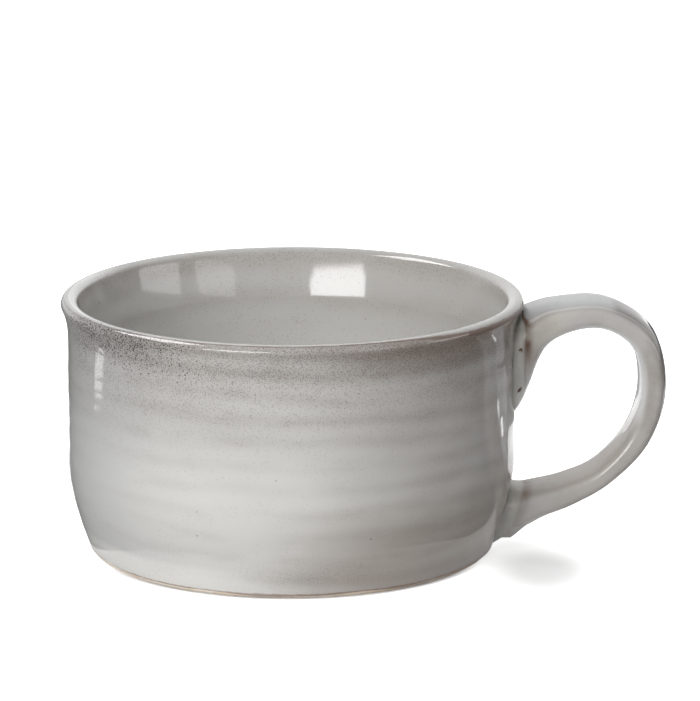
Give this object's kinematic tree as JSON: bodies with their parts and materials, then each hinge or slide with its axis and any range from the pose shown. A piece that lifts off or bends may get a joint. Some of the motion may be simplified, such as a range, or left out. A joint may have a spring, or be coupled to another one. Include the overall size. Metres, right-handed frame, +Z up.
{
  "type": "soup mug",
  "caption": "Wide, low stoneware soup mug with a flared rim, a pulled strap handle and a glossy warm-grey glaze over a bare clay foot.",
  "frame": {"origin": "centre of the foot, on the plane that the mug stands on", "axes": "+Z up along the cup's axis, +X from the axis out through the handle"},
  "size_m": [0.168, 0.128, 0.071],
  "materials": {
    "stoneware": "matt bare stoneware",
    "slip": "matt fired slip",
    "outer_glaze": "glossy warm-grey glaze with fine dark speckle",
    "liner_glaze": "glossy grey glaze"
  },
  "bodies": {
    "root": {"cup_body": "stoneware", "handle": "stoneware", "upper_slip_joint": "slip", "lower_slip_joint": "slip", "outer_glaze": "outer_glaze", "liner_glaze": "liner_glaze", "underside_glaze": "liner_glaze", "handle_glaze": "outer_glaze"}
  },
  "joints": []
}
